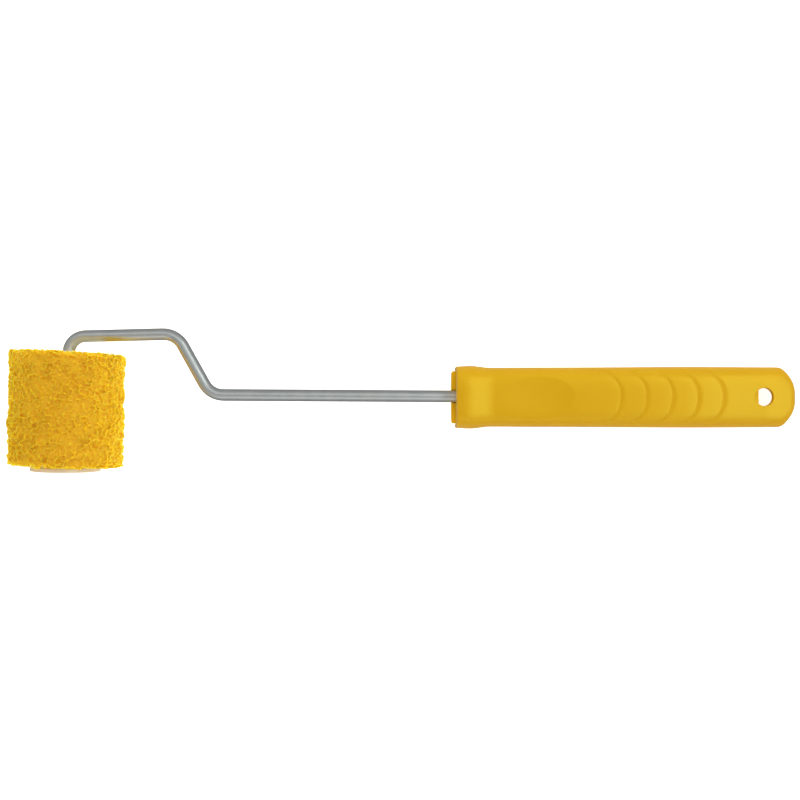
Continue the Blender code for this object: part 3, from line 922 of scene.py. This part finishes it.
def foam_tree():
    """Geometry nodes that fill the sleeve's outer shell with open cells and mesh the result.

    Thin walls follow the cells' shared faces. Each is pierced by a round window where it is
    nearest its cells' centres, a wider one deeper down or where the wall lies along the sleeve's
    face. Below the shell's depth the foam is closed.
    """
    tree = bpy.data.node_groups.new("open_cell_foam", "GeometryNodeTree")
    tree.interface.new_socket("Geometry", in_out="INPUT", socket_type="NodeSocketGeometry")
    tree.interface.new_socket("Geometry", in_out="OUTPUT", socket_type="NodeSocketGeometry")
    n = Nodes(tree)
    position = n.add("GeometryNodeInputPosition").outputs[0]
    parts = n.add("ShaderNodeSeparateXYZ")
    n.feed(parts.inputs[0], position)
    x, y, z = parts.outputs
    radius = n.math("SQRT", n.math("ADD", n.math("MULTIPLY", x, x), n.math("MULTIPLY", y, y)))

    def uneven(scale, amplitude):
        value = noise(n, position, scale, 1.0)
        return n.math("MULTIPLY", n.math("SUBTRACT", value, 0.5), amplitude)

    rough = n.math("ADD", uneven(*FOAM_SWELL), uneven(*FOAM_FRAY))
    side = n.math("ADD", n.math("SUBTRACT", FOAM_SURFACE, radius), rough)
    skew = n.math("MULTIPLY", x, FOAM_SKEW)
    height = n.math("ABSOLUTE", n.math("ADD", z, skew))
    half_rough = n.math("MULTIPLY", rough, 0.5)
    end = n.math("ADD", n.math("SUBTRACT", SLEEVE_LENGTH / 2, height), half_rough)
    outer = n.math("SMOOTH_MIN", side, end, SLEEVE_EDGE_BLEND)
    bore = n.math("SUBTRACT", radius, CORE_OUTER_RADIUS + GAP)

    scale, amplitude = FOAM_CURL
    shift = n.vector("SUBTRACT", noise(n, position, scale, 1.0, output="Color"), (0.5,) * 3)
    curled = n.vector("ADD", position, n.vector("MULTIPLY", shift, (amplitude,) * 3))

    def cells(feature):
        node = n.add("ShaderNodeTexVoronoi", voronoi_dimensions="3D", feature=feature)
        n.feed(node.inputs["Vector"], curled)
        n.feed(node.inputs["Scale"], 1 / FOAM_CELL)
        n.feed(node.inputs["Randomness"], FOAM_RANDOM)
        return node.outputs

    first, second = cells("F1"), cells("F2")
    across = n.vector("NORMALIZE", n.vector("SUBTRACT", second["Position"], first["Position"]))
    both = n.vector("ADD", first["Position"], second["Position"])
    from_middle = n.vector("SUBTRACT", curled, n.vector("MULTIPLY", both, (0.5,) * 3))
    from_wall = n.math("ABSOLUTE", n.vector("DOT_PRODUCT", from_middle, across))
    wall = n.math("SUBTRACT", FOAM_WALL / 2, from_wall)

    outward_way = n.vector("NORMALIZE", n.vector("MULTIPLY", position, (1.0, 1.0, 0.0)))
    facing = n.math("ABSOLUTE", n.vector("DOT_PRODUCT", across, outward_way))
    flat = mapped(n, facing, *FLAT_WALL, 0.0, FOAM_WINDOW_FLAT)
    deep = mapped(n, outer, 0.0, FOAM_SHELL, 0.0, FOAM_WINDOW_DEEP)
    opening = n.math("ADD", n.math("ADD", flat, deep), FOAM_WINDOW)
    window = n.math("MULTIPLY", n.math("SUBTRACT", first["Distance"], opening), FOAM_CELL)
    struts = n.math("SMOOTH_MIN", wall, window, STRUT_BLEND)
    backing = n.math("ADD", n.math("SUBTRACT", outer, FOAM_SHELL), uneven(*FOAM_PATCH))
    inside = n.math("SMOOTH_MAX", struts, backing, BACKING_BLEND)
    solid = n.math("MINIMUM", n.math("SMOOTH_MIN", outer, inside, SURFACE_BLEND), bore)

    cube = n.add("GeometryNodeVolumeCube")
    n.feed(cube.inputs["Density"], n.math("MULTIPLY", solid, 1 / MM))
    n.feed(cube.inputs["Background"], -1.0)
    wide = SLEEVE_RADIUS + FOAM_MARGIN
    reach = (wide, wide, SLEEVE_LENGTH / 2 + FOAM_MARGIN)
    n.feed(cube.inputs["Min"], [-value for value in reach])
    n.feed(cube.inputs["Max"], reach)
    for axis, value in zip("XYZ", reach):
        n.feed(cube.inputs[f"Resolution {axis}"], int(2 * value / FOAM_VOXEL))
    surface = n.add("GeometryNodeVolumeToMesh")
    n.feed(surface.inputs["Volume"], cube.outputs[0])
    n.feed(surface.inputs["Threshold"], 0.0)
    n.feed(surface.inputs["Adaptivity"], FOAM_ADAPTIVITY)
    blur = n.add("GeometryNodeBlurAttribute", data_type="FLOAT_VECTOR")
    n.feed(blur.inputs["Value"], position)
    n.feed(blur.inputs["Iterations"], FOAM_SOFTENING)
    soften = n.add("GeometryNodeSetPosition")
    n.feed(soften.inputs["Geometry"], surface.outputs[0])
    n.feed(soften.inputs["Position"], blur.outputs[0])

    island = n.add("GeometryNodeInputMeshIsland")
    count = n.add("GeometryNodeAccumulateField", data_type="INT", domain="FACE")
    n.feed(count.inputs["Value"], 1)
    n.feed(count.inputs["Group ID"], island.outputs["Island Index"])
    small = n.add("FunctionNodeCompare", data_type="INT", operation="LESS_THAN")
    n.feed(small.inputs[2], count.outputs["Total"])
    n.feed(small.inputs[3], CRUMB_FACES)
    crumbs = n.add("GeometryNodeDeleteGeometry", domain="FACE")
    n.feed(crumbs.inputs["Geometry"], soften.outputs[0])
    n.feed(crumbs.inputs["Selection"], small.outputs[0])
    output = n.add("NodeGroupOutput")
    n.feed(output.inputs[0], crumbs.outputs[0])
    return tree


def foam_sleeve(material):
    """The foam sleeve. Its depth attribute is how many millimetres a point lies below the face."""
    thing = new_object("open_foam", bpy.data.meshes.new("open_foam"))
    modifier = thing.modifiers.new("foam", "NODES")
    modifier.node_group = foam_tree()
    mesh = applied(thing)
    mesh.materials.clear()
    mesh.materials.append(material)
    count = len(mesh.vertices)
    points = np.empty(count * 3, np.float32)
    mesh.vertices.foreach_get("co", points)
    points = points.reshape(-1, 3)
    side = FOAM_SURFACE - np.hypot(points[:, 0], points[:, 1])
    end = SLEEVE_LENGTH / 2 - np.abs(points[:, 2])
    depth = mesh.attributes.new("depth", "FLOAT", "POINT")
    depth.data.foreach_set("value", (np.minimum(side, end) / MM).astype(np.float32))
    mesh.polygons.foreach_set("material_index", np.zeros(len(mesh.polygons), np.int32))
    mesh.shade_smooth()
    place(thing, ROLLER, "roller", "foam_sleeve")


# ----------------------------------------------------------------------------- materials


# Noise scales, in repeats a metre.
PLASTIC_MOTTLE = 70.0
PLASTIC_FINE = 900.0
PLASTIC_WAVE = 120.0
PLASTIC_GRAIN = 5200.0
ZINC_LINES = 5500.0
ZINC_BLOOM = 260.0
ZINC_WARMTH = 90.0
STEEL_STAIN = 600.0
STEEL_GRAIN = 2600.0
FOAM_COLOUR_PATCH = 160.0
FOAM_GLINT_SPOTS = 1500.0
FOAM_GRAIN = 3200.0

# Bump heights.
PLASTIC_WAVE_HEIGHT = 0.12 * MM
PLASTIC_GRAIN_HEIGHT = 0.01 * MM
ZINC_LINE_HEIGHT = 0.02 * MM
ZINC_BLOOM_HEIGHT = 0.05 * MM
STEEL_GRAIN_HEIGHT = 0.03 * MM
FOAM_GRAIN_HEIGHT = 0.05 * MM


def principled(name, **inputs):
    """A Principled material, its shader, and short calls for its tree."""
    material = bpy.data.materials.new(name)
    material.use_nodes = True
    n = Nodes(material.node_tree)
    shader = material.node_tree.nodes["Principled BSDF"]
    for key, value in inputs.items():
        shader.inputs[key.replace("_", " ")].default_value = value
    return material, shader, n


def blended(n, share, first, second):
    """A colour that goes from first to second as share goes from 0 to 1."""
    node = n.add("ShaderNodeMix", data_type="RGBA")
    n.feed(node.inputs["Factor"], share)
    n.feed(node.inputs["A"], first)
    n.feed(node.inputs["B"], second)
    return node.outputs["Result"]


def bumped(n, shader, height, distance, strength=1.0, under=None):
    """Gives the shader a bump of that height in metres, on top of the bump under it."""
    node = n.add("ShaderNodeBump")
    n.feed(node.inputs["Height"], height)
    n.feed(node.inputs["Distance"], distance)
    n.feed(node.inputs["Strength"], strength)
    if under is not None:
        n.feed(node.inputs["Normal"], under)
    n.feed(shader.inputs["Normal"], node.outputs[0])
    return node.outputs[0]


def object_place(n):
    return n.add("ShaderNodeTexCoord").outputs["Object"]


def plastic(name, dark, light, roughness, subsurface=0.08, tint=(1.0, 1.0, 1.0)):
    """Moulded polypropylene: faint flow mottling, a fine eroded texture and soft waviness.

    A roughness that falls under 0.28 in places speckles once the render is denoised.
    """
    material, shader, n = principled(
        name,
        Subsurface_Weight=subsurface,
        Subsurface_Radius=(1.0, 0.55, 0.12),
        Subsurface_Scale=0.0018,
        IOR=1.49,
        Specular_IOR_Level=1.0,
        Specular_Tint=(*tint, 1.0),
    )
    where = object_place(n)
    broad = noise(n, where, PLASTIC_MOTTLE, 3.0, 0.55)
    fine = noise(n, where, PLASTIC_FINE)
    share = n.math("ADD", n.math("MULTIPLY", broad, 0.7), n.math("MULTIPLY", fine, 0.3))
    colour = blended(n, mapped(n, share, 0.35, 0.65, 0.0, 1.0), (*dark, 1), (*light, 1))
    n.feed(shader.inputs["Base Color"], colour)
    rough = mapped(n, fine, 0.3, 0.7, roughness - 0.01, roughness + 0.05)
    n.feed(shader.inputs["Roughness"], rough)
    grain = noise(n, where, PLASTIC_GRAIN, 2.0, 0.6)
    wave = noise(n, where, PLASTIC_WAVE, 1.0)
    first = bumped(n, shader, wave, PLASTIC_WAVE_HEIGHT, 0.35)
    bumped(n, shader, grain, PLASTIC_GRAIN_HEIGHT, 0.35, first)
    return material


def zinc(name):
    """Zinc-plated drawn wire: fine lines along it, a patchy bluish bloom, a satin shine."""
    material, shader, n = principled(name, Metallic=1.0)
    grain = n.add("ShaderNodeAttribute", attribute_name="grain").outputs["Vector"]
    stretch = n.add("ShaderNodeMapping")
    n.feed(stretch.inputs["Vector"], grain)
    n.feed(stretch.inputs["Scale"], (0.02, 1.0, 1.0))
    lines = noise(n, stretch.outputs[0], ZINC_LINES, 3.0, 0.6)
    bloom = noise(n, grain, ZINC_BLOOM, 3.0, 0.6)
    warm = noise(n, grain, ZINC_WARMTH, 1.0)
    bloomed = mapped(n, bloom, 0.3, 0.7, 0.0, 1.0)
    colour = blended(n, bloomed, (0.60, 0.645, 0.645, 1), (0.67, 0.71, 0.71, 1))
    colour = blended(n, mapped(n, warm, 0.5, 0.75, 0.0, 0.3), colour, (0.64, 0.655, 0.60, 1))
    n.feed(shader.inputs["Base Color"], colour)
    line_rough = mapped(n, lines, 0.3, 0.7, 0.36, 0.42)
    rough = n.math("ADD", line_rough, mapped(n, bloom, 0.3, 0.7, 0.0, 0.04))
    n.feed(shader.inputs["Roughness"], rough)
    first = bumped(n, shader, lines, ZINC_LINE_HEIGHT, 0.3)
    bumped(n, shader, bloom, ZINC_BLOOM_HEIGHT, 0.15, first)
    return material


def steel(name):
    """Pressed spring steel: darker, with small stains."""
    material, shader, n = principled(name, Metallic=1.0)
    where = object_place(n)
    stain = noise(n, where, STEEL_STAIN, 4.0, 0.6)
    stained = mapped(n, stain, 0.35, 0.7, 0.0, 1.0)
    colour = blended(n, stained, (0.34, 0.34, 0.35, 1), (0.56, 0.56, 0.56, 1))
    n.feed(shader.inputs["Base Color"], colour)
    n.feed(shader.inputs["Roughness"], mapped(n, stain, 0.3, 0.7, 0.26, 0.42))
    bumped(n, shader, noise(n, where, STEEL_GRAIN), STEEL_GRAIN_HEIGHT, 0.3)
    return material


def foam(name):
    """Coarse foam: painted glints as sparse pale spots on the outermost strut tips, and a colour
    painted lighter deeper in the pits to offset their shade, with light all through it.
    """
    material, shader, n = principled(
        name,
        Roughness=0.62,
        Subsurface_Weight=1.0,
        Subsurface_Radius=(1.0, 0.95, 0.4),
        Subsurface_Scale=0.003,
        Specular_IOR_Level=0.2,
    )
    depth = n.add("ShaderNodeAttribute", attribute_name="depth").outputs["Fac"]
    where = object_place(n)
    patch = noise(n, where, FOAM_COLOUR_PATCH)
    fine = noise(n, where, FOAM_GLINT_SPOTS)
    # Painted light: deeper points get a lighter colour, to offset the shade in the pits; the patch
    # noise varies how deep that reaches.
    pit_light_depth = n.math("ADD", depth, n.math("MULTIPLY", patch, 0.8))
    deep = mapped(n, pit_light_depth, 0.4, 1.9, 0.0, 1.0)
    colour = blended(n, deep, (0.69, 0.39, 0.012, 1), (0.83, 0.50, 0.02, 1))
    # Painted glints: sparse pale spots on the outermost strut tips.
    glint_tips = mapped(n, depth, 0.6, -0.3, 0.0, 1.0)
    painted_glint = n.math("MULTIPLY", mapped(n, fine, 0.6, 0.8, 0.0, 0.35), glint_tips)
    colour = blended(n, painted_glint, colour, (0.86, 0.58, 0.10, 1))
    n.feed(shader.inputs["Base Color"], colour)
    bumped(n, shader, noise(n, where, FOAM_GRAIN), FOAM_GRAIN_HEIGHT, 0.5)
    return material


# ------------------------------------------------------------------------ studio and camera


IMAGE_WIDTH_AT_WIRE = 360.0 * MM
CAMERA_DISTANCE = 400.0 * MM
SENSOR = 36.0
VIEW_CENTRE = (-25.0 * MM, -1.2 * MM, 0.0)
VIEW_TILT = math.radians(1.0)

FLOOR_GAP = 1.5 * MM
FLOOR_HALF_SIZE = 6.0


def camera():
    """A camera square above the wire's plane, close enough to show the sleeve's ends."""
    data = bpy.data.cameras.new("camera")
    data.sensor_width = SENSOR
    data.lens = SENSOR * CAMERA_DISTANCE / IMAGE_WIDTH_AT_WIRE
    data.clip_start = 0.01
    data.clip_end = 20.0
    thing = bpy.data.objects.new("camera", data)
    bpy.context.scene.collection.objects.link(thing)
    aim = Matrix.Translation(VIEW_CENTRE) @ Matrix.Rotation(VIEW_TILT, 4, "X")
    thing.matrix_world = TOOL @ aim @ Matrix.Translation((0.0, 0.0, CAMERA_DISTANCE))
    bpy.context.scene.camera = thing


def lamp(name, place_at, size, energy, colour, kind):
    """A softbox aimed at the tool's middle, which gives only diffuse or only glossy light."""
    data = bpy.data.lights.new(name, "AREA")
    data.shape = "RECTANGLE"
    data.size, data.size_y = size
    data.energy = energy
    data.color = colour
    thing = bpy.data.objects.new(name, data)
    bpy.context.scene.collection.objects.link(thing)
    thing.location = place_at
    thing.rotation_euler = (-Vector(place_at)).to_track_quat("-Z", "Y").to_euler()
    thing.visible_glossy = kind == "glossy"
    thing.visible_diffuse = kind == "diffuse"


def soft_world():
    """An even grey dome, a little darker below the horizon."""
    world = bpy.data.worlds.new("studio")
    world.use_nodes = True
    n = Nodes(world.node_tree)
    background = world.node_tree.nodes["Background"]
    background.inputs["Color"].default_value = (1.0, 0.98, 0.96, 1.0)
    parts = n.add("ShaderNodeSeparateXYZ")
    n.feed(parts.inputs[0], n.add("ShaderNodeTexCoord").outputs["Generated"])
    n.feed(background.inputs["Strength"], mapped(n, parts.outputs[2], -0.15, 0.15, 0.3, 0.38))
    bpy.context.scene.world = world


def studio():
    """Soft lights over a bright table. The floor gives the roller's tufts room below the tool."""
    soft_world()
    green = (0.97, 1.0, 0.96)
    lime = (0.93, 1.0, 0.90)
    warm = (1.0, 0.94, 0.88)
    lamp("side_diffuser", (0.98, -0.1, 0.86), (1.2, 0.8), 4.5, green, "diffuse")
    lamp("rear_diffuser", (0.25, 1.15, 0.85), (1.2, 1.0), 10.0, lime, "diffuse")
    lamp("front_diffuser", (0.2, -1.1, 0.9), (1.2, 1.0), 4.0, warm, "diffuse")
    lamp("left_diffuser", (-1.15, -0.3, 0.95), (1.2, 1.2), 4.0, warm, "diffuse")
    lamp("top_diffuser", (0.0, 0.1, 1.5), (1.0, 1.0), 2.2, warm, "diffuse")
    lamp("glint_box", (0.80, 0.05, 0.98), (1.5, 0.45), 4.8, (0.94, 1.0, 0.97), "glossy")
    lamp("upper_strip", (0.0, 0.5, 1.0), (1.6, 0.4), 1.1, (1.0, 1.0, 1.0), "glossy")
    lamp("lower_strip", (0.0, -0.9, 0.75), (1.6, 0.5), 1.6, (1.0, 1.0, 1.0), "glossy")

    mesh = bpy.data.meshes.new("floor")
    signs = ((-1, -1), (1, -1), (1, 1), (-1, 1))
    corners = [(FLOOR_HALF_SIZE * x, FLOOR_HALF_SIZE * y, 0.0) for x, y in signs]
    mesh.from_pydata(corners, [], [(0, 1, 2, 3)])
    material, _, _ = principled(
        "light_table",
        Base_Color=(0.9, 0.9, 0.9, 1),
        Roughness=0.8,
        Specular_IOR_Level=0.2,
        Emission_Color=(1, 1, 1, 1),
        Emission_Strength=0.84,
    )
    floor = new_object("floor", mesh, material)
    floor.location.z = -FLOOR_GAP
    floor.visible_glossy = False
    bpy.context.scene.view_settings.view_transform = "Standard"


def build():
    camera()
    studio()
    green = (0.78, 1.0, 0.16)
    dark, light = (0.66, 0.338, 0.004), (0.68, 0.352, 0.005)
    yellow_front = plastic("yellow_front", dark, light, 0.30, tint=green)
    # Painted light: the back shell's yellow is lighter than the front's, to offset the collar's
    # shade on its lip.
    dark, light = (0.84, 0.46, 0.003), (0.86, 0.475, 0.004)
    yellow_back_lightened = plastic("yellow_back_lightened", dark, light, 0.36, tint=green)
    cream = plastic("cream_plastic", (0.79, 0.67, 0.45), (0.82, 0.73, 0.53), 0.45, 0.15)
    nylon = plastic("nylon", (0.74, 0.74, 0.69), (0.82, 0.82, 0.78), 0.5, 0.2)
    front_shell(yellow_front)
    back_shell(yellow_back_lightened)
    frame_wire(zinc("zinc_plate"))
    core_tube(cream)
    outer_cap(cream)
    inner_cap(cream)
    axle_fittings(steel("spring_steel"), nylon)
    foam_sleeve(foam("coarse_foam"))


build()
